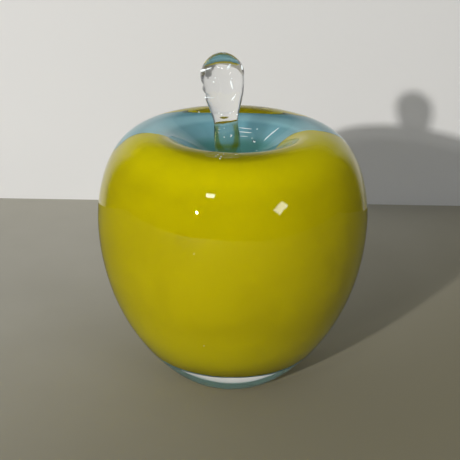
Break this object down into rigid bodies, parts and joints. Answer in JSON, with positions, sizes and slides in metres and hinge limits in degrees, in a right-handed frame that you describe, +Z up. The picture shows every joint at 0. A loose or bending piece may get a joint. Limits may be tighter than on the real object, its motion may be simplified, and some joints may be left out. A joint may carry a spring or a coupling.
{
  "type": "art glass apple",
  "caption": "Solid apple-shaped ornament in cased glass: lime and aqua colour under a thick clear casing, rounded lip, dimple, flat foot and a clear waisted stem with a bulb.",
  "frame": {"origin": "centre of the flat polished foot, on the surface it stands on", "axes": "+Z up along the apple's turning axis; -Y is the lime front; +X to the right seen from the front"},
  "size_m": [0.09, 0.09, 0.1118],
  "materials": {
    "starter_gather": "clear solid glass, fire polished",
    "lime_skin": "opaque lime yellow coloured glass",
    "aqua_crown": "opaque aqua blue coloured glass",
    "aqua_base": "opaque aqua blue coloured glass",
    "clear_casing": "clear solid glass, fire polished, ground and polished foot",
    "stem": "clear solid glass, fire polished, with tool marks"
  },
  "bodies": {
    "root": {"starter_gather": "starter_gather", "lime_skin": "lime_skin", "aqua_crown": "aqua_crown", "aqua_base": "aqua_base", "clear_casing": "clear_casing", "stem": "stem"}
  },
  "joints": []
}
